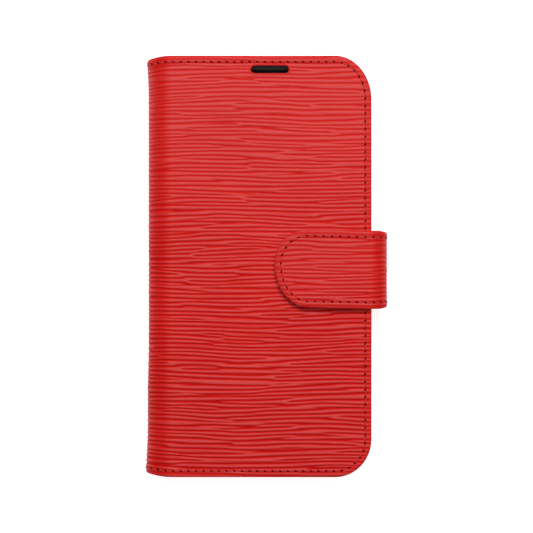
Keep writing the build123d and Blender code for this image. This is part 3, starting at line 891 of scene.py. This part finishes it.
def seam_pair(name, path, fold, turn, pitch, thickness):
    """The stitches and needle holes of one seam on the outer face, and the same on the inner face."""
    turn = turn * fold.up
    half, inner_w = pitch / 2, thickness + LINING_LIFT
    inner = f"inner_needle_holes_{name}"
    return [
        stitch_mesh(f"stitches_{name}", path, fold, THREAD, turn, THREAD_W),
        hole_mesh(f"needle_holes_{name}", path, half, fold, HOLE, turn, PANEL_GROOVE, 0.0),
        stitch_mesh(f"inner_stitches_{name}", path, fold, THREAD, -turn, inner_w, side=-1),
        hole_mesh(inner, path, half, fold, HOLE, -turn, LINING_GROOVE, inner_w, side=-1),
    ]


front_seam = seam_pair("front", cover_path, FRONT, -1, COVER_STITCH, PANEL_T)
back_seam = seam_pair("back", cover_path, BACK, -1, COVER_STITCH, PANEL_T)
tip_seam = seam_pair("strap_front", tip_path, STRAP_UP, 1, STRAP_STITCH, STRAP_T)
root_seam = seam_pair("strap_back", root_path, STRAP_DOWN, 1, STRAP_STITCH, STRAP_T)


def blend_all(pieces, fold):
    start, end = fold.ends()
    for piece in pieces:
        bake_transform(piece)


blend_all([leather_front, lining_front, padding_front, *front_seam], FRONT)
blend_all([leather_back, lining_back, padding_back, *back_seam], BACK)
blend_all([strap_front, strap_lining_front, *tip_seam], STRAP_UP)
blend_all([strap_back, strap_lining_back, *root_seam], STRAP_DOWN)
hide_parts("cover_leather", "spine_leather")
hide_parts("back_leather")
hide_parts("strap_tip_leather", "strap_side_leather")
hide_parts("strap_root")
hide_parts("spine_padding")
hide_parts("cover_lining", "spine_lining")
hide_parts("back_lining")
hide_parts("strap_tip_lining", "strap_side_lining")
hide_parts("cover_thread", "spine_thread")
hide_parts("back_thread")
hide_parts("strap_tip_thread", "strap_side_thread")


# ---------- pockets
class Plate:
    """A flat piece that faces down, into the closed case; w is measured down from its visible face."""

    def __init__(self, z):
        self.z = z

    def place(self, s, y, w):
        return np.stack([s, y, self.z - np.broadcast_to(w, np.shape(s))], axis=-1) * MM


def arc(x, y, radius, start, end):
    """Points on a circle from one angle to another, in degrees."""
    angle = np.radians(steps(start, end, math.degrees(ARC_STEP / radius)))
    return np.stack([x + radius * np.cos(angle), y + radius * np.sin(angle)], axis=1)


# radii of the thumb notch, of its shoulders, and of the pockets' corner beside the case's own
THUMB_R = 9.0
SHOULDER_R = 2.0
FOOT_R = 9.3
ARC_STEP = 0.4


def resample(line, count):
    """The same line in a number of even steps."""
    run = run_along(line)
    return points_at(line, run, np.linspace(0, run[-1], count + 1))


# steps across a pocket sheet and up it
SIDES = (140, 200)


def pocket_outline(low, high, notch):
    """A pocket sheet's outline, anticlockwise from its lower left corner, with a thumb notch in its mouth or
    without. Opposite sides have the same number of points."""
    (left, foot), (right, mouth) = low[:2], high[:2]
    bottom = [arc(left + 1, foot + 1, 1, 225, 270), arc(right - FOOT_R, foot + FOOT_R, FOOT_R, 270, 315)]
    side = [arc(right - FOOT_R, foot + FOOT_R, FOOT_R, 315, 360), arc(right - 1, mouth - 1, 1, 0, 45)]
    top = [arc(right - 1, mouth - 1, 1, 45, 90), arc(left + 1, mouth - 1, 1, 90, 135)]
    if notch:
        drop = THUMB_R / 2 + SHOULDER_R
        reach = math.sqrt((THUMB_R + SHOULDER_R) ** 2 - drop**2)
        lean = math.degrees(math.atan2(drop, reach))
        top[1:1] = [arc(reach, mouth - SHOULDER_R, SHOULDER_R, 90, 180 - lean),
                    arc(0, mouth + THUMB_R / 2, THUMB_R, -lean, lean - 180),
                    arc(-reach, mouth - SHOULDER_R, SHOULDER_R, lean, 90)]
    last = [arc(left + 1, mouth - 1, 1, 135, 180), arc(left + 1, foot + 1, 1, 180, 225)]
    across, up = SIDES
    chains = [(bottom, across), (side, up), (top, across), (last, up)]
    return np.concatenate([resample(np.concatenate(parts), count)[:-1] for parts, count in chains])


def fill_grid(ring):
    """Points of a grid whose border is the ring, by blending its four sides."""
    across, up = SIDES
    ends = np.concatenate([ring, ring[:1]])
    bottom, right = ends[: across + 1], ends[across : across + up + 1]
    top = ends[across + up : 2 * across + up + 1][::-1]
    left = ends[2 * across + up :][::-1]
    u = np.linspace(0, 1, across + 1)[None, :, None]
    v = np.linspace(0, 1, up + 1)[:, None, None]
    sides = (1 - v) * bottom[None] + v * top[None] + (1 - u) * left[:, None] + u * right[:, None]
    low_corners = (1 - u) * (1 - v) * bottom[0] + u * (1 - v) * bottom[-1]
    high_corners = (1 - u) * v * top[0] + u * v * top[-1]
    return sides - (low_corners + high_corners)


# (inset, w) of a pocket sheet's rings: its cut edge, the rolled rim, then the crease
POCKET_PROFILE = ((0.0, -0.45), (0.0, -0.17), (0.04, -0.06), (0.13, 0.0), (0.5, 0.0), (0.95, 0.0),
                  (1.08, -0.05), (1.2, -0.06), (1.32, -0.05), (1.45, 0.0), (1.7, 0.0))
# how far a pocket's mouth stands off in the middle, and how far down that reaches
MOUTH_SWELL, MOUTH_REACH = 0.12, 9.0


def pocket(name, notch):
    """A pocket sheet with a rolled edge and a crease pressed in along it."""
    low, high = span(name)
    outline = pocket_outline(low, high, notch)
    direction = np.roll(outline, -1, 0) - np.roll(outline, 1, 0)
    normal = np.stack([-direction[:, 1], direction[:, 0]], axis=1)
    normal /= np.linalg.norm(normal, axis=1, keepdims=True)
    flat = Flat()
    previous = None
    for d, w in POCKET_PROFILE:
        inner = outline + normal * d
        ring = flat.add(inner, w, 1)
        if previous is not None:
            flat.bridge(previous, ring, closed=True)
        previous = ring
    grid_points = fill_grid(inner)
    rows, columns = grid_points.shape[:2]
    grid = flat.add(grid_points.reshape(-1, 2), 0, 1).reshape(rows, columns)
    border = np.concatenate([grid[0, :-1], grid[:-1, -1], grid[-1, :0:-1], grid[:0:-1, 0]])
    flat.bridge(previous, border, closed=True)
    flat.faces.append(grid_quads(grid).reshape(-1, 4))
    points, w, _, faces = flat.arrays()
    swell = MOUTH_SWELL * np.sin(np.clip((points[:, 0] - low[0]) / (high[0] - low[0]), 0, 1) * math.pi)
    lip = np.exp(-np.maximum(high[1] - points[:, 1], 0) / MOUTH_REACH)
    co = Plate(low[2]).place(points[:, 0], points[:, 1], w + swell * lip)
    made = plain_mesh(f"{name}_sheet", co, faces[:, ::-1].tolist(), SMOOTH)
    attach(made, "cover")
    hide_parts(name)
    return made


POCKETS = ("cash_pocket", "card_pocket_1", "card_pocket_2", "card_pocket_3")
POCKET_SEAM = 1.6
POCKET_STITCH = 2.6
MOUTH_GAP, CORNER_GAP = 0.8, 0.4


def pocket_seams():
    """Stitches down the pockets' sides, across the foot of the foremost and the top of the rearmost."""
    made = []
    for level, name in enumerate(POCKETS):
        low, high = span(name)
        left, right = low[0] + POCKET_SEAM, high[0] - POCKET_SEAM
        top = high[1] - POCKET_SEAM
        foremost = level == len(POCKETS) - 1
        below = low[1] + POCKET_SEAM if foremost else span(POCKETS[level + 1])[1][1] + MOUTH_GAP
        lines = [[(left, below), (left, top)]]
        if foremost:
            turn = arc(right + POCKET_SEAM - FOOT_R, low[1] + FOOT_R, FOOT_R - POCKET_SEAM, 270, 360)
            lines.append([(left + CORNER_GAP, below), *turn.tolist(), (right, top)])
        elif level == 0:
            lines.append([(right, below), (right, top), (left + CORNER_GAP, top)])
        else:
            lines.append([(right, below), (right, top)])
        for number, line in enumerate(lines):
            path = stations(line, POCKET_STITCH, 0.1)
            face = Plate(low[2])
            label = f"{name}_{number}"
            made.append(stitch_mesh(f"stitches_{label}", path, face, THREAD, turn=1, base_w=0.0, length=1.9))
            made.append(hole_mesh(f"needle_holes_{label}", path, POCKET_STITCH / 2, face, HOLE, turn=1,
                                  groove=0.0, base_w=-0.02, size=(0.36, 0.2)))
    for piece in made:
        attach(piece, "cover")
    return made


for name in POCKETS:
    pocket(name, notch=name != "cash_pocket")
pocket_stitches = pocket_seams()
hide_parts("pocket_thread")


# ---------- finishes of the CAD pieces that stay
finishes = {
    "phone_shell": SHELL,
    "cover_board": fibre_material("board", (0.16, 0.12, 0.08), (0.26, 0.21, 0.15), scale=900.0,
                                  roughness=0.85),
    "closure_plate": fibre_material("steel", (0.35, 0.35, 0.36), (0.55, 0.55, 0.56), scale=2200.0,
                                    roughness=0.35, metallic=1.0),
    "strap_magnets": fibre_material("nickel", (0.50, 0.49, 0.46), (0.66, 0.65, 0.62), scale=1500.0,
                                    roughness=0.22, metallic=1.0),
}
finishes["back_board"] = finishes["cover_board"]
finishes["strap_tip_core"] = finishes["cover_board"]
for node, material in finishes.items():
    obj = frame["nodes"][node]
    obj.data.materials.clear()
    obj.data.materials.append(material)

# ---------- floor, light and camera
VIEW_WIDTH = 195.4
CAMERA_HEIGHT = 1100.0
VIEW_CENTRE = (-0.55, -0.04)
GLOW_INSET = 4.5
GLOW = 0.76
GLOW_EDGE = (-0.0025, -0.0005)
FLOOR_HALF = 3.0
FLOOR_DROP = 0.0004


def floor_glow(m, coords):
    """The floor's own light, left out under the back panel so that none comes up through the window."""
    positive = m.add("ShaderNodeVectorMath", operation="ABSOLUTE")
    beyond = m.add("ShaderNodeVectorMath", operation="SUBTRACT")
    axes = m.add("ShaderNodeSeparateXYZ")
    outside = m.add("ShaderNodeMath", operation="MAXIMUM")
    beyond.inputs[1].default_value = ((EDGE_X - GLOW_INSET) * MM, (HALF_H - GLOW_INSET) * MM, 0)
    m.link(coords, positive.inputs[0])
    m.link(positive.outputs[0], beyond.inputs[0])
    m.link(beyond.outputs[0], axes.inputs[0])
    m.link(axes.outputs["X"], outside.inputs[0])
    m.link(axes.outputs["Y"], outside.inputs[1])
    glow = m.add("ShaderNodeMapRange")
    for socket, value in zip(("From Min", "From Max", "To Min", "To Max"), (*GLOW_EDGE, 0.0, GLOW)):
        glow.inputs[socket].default_value = value
    m.link(outside.outputs[0], glow.inputs["Value"])
    return glow.outputs["Result"]


def floor():
    mesh = bpy.data.meshes.new("floor")
    corners = [(x * FLOOR_HALF, y * FLOOR_HALF, 0) for x, y in ((-1, -1), (1, -1), (1, 1), (-1, 1))]
    mesh.from_pydata(corners, [], [(0, 1, 2, 3)])
    obj = bpy.data.objects.new("floor", mesh)
    obj.location.z = -FLOOR_DROP
    bpy.context.scene.collection.objects.link(obj)
    m = Nodes("pale_floor")
    coords = m.add("ShaderNodeTexCoord").outputs["Object"]
    m.link(m.ramp(m.noise(coords, 6.0), [(0.3, (0.84, 0.84, 0.84)), (0.7, (0.87, 0.87, 0.87))]),
           m.shader.inputs["Base Color"])
    m.link(floor_glow(m, coords), m.shader.inputs["Emission Strength"])
    m.set(Roughness=0.9, Specular_IOR_Level=0.1, Emission_Color=(1, 1, 1, 1))
    mesh.materials.append(m.material)


def area_light(name, position, size, power):
    """A soft rectangular light that faces the origin."""
    light = bpy.data.lights.new(name, "AREA")
    light.shape = "RECTANGLE"
    light.size, light.size_y = size
    light.energy = power
    obj = bpy.data.objects.new(name, light)
    obj.location = position
    obj.rotation_mode = "QUATERNION"
    obj.rotation_quaternion = (-Vector(position)).to_track_quat("-Z", "Y")
    bpy.context.scene.collection.objects.link(obj)


def world(strength):
    made = bpy.data.worlds.new("studio")
    made.use_nodes = True
    made.node_tree.nodes["Background"].inputs["Color"].default_value = (1, 1, 1, 1)
    made.node_tree.nodes["Background"].inputs["Strength"].default_value = strength
    bpy.context.scene.world = made


def camera():
    """Looks straight down on the case, with VIEW_WIDTH in view at the height of the cover."""
    data = bpy.data.cameras.new("camera")
    obj = bpy.data.objects.new("camera", data)
    bpy.context.scene.collection.objects.link(obj)
    obj.location = (VIEW_CENTRE[0] * MM, VIEW_CENTRE[1] * MM, (TOP_Z + CAMERA_HEIGHT) * MM)
    data.lens = data.sensor_width * CAMERA_HEIGHT / VIEW_WIDTH
    data.clip_start, data.clip_end = 0.01, 20
    bpy.context.scene.camera = obj


floor()
world(0.12)
area_light("overhead", (0.0, 0.04, 1.2), size=(1.4, 1.2), power=5.75)
area_light("key", (0.035, 0.56, 0.84), size=(0.6, 0.32), power=8.5)
camera()
bpy.context.scene.view_settings.view_transform = "Standard"
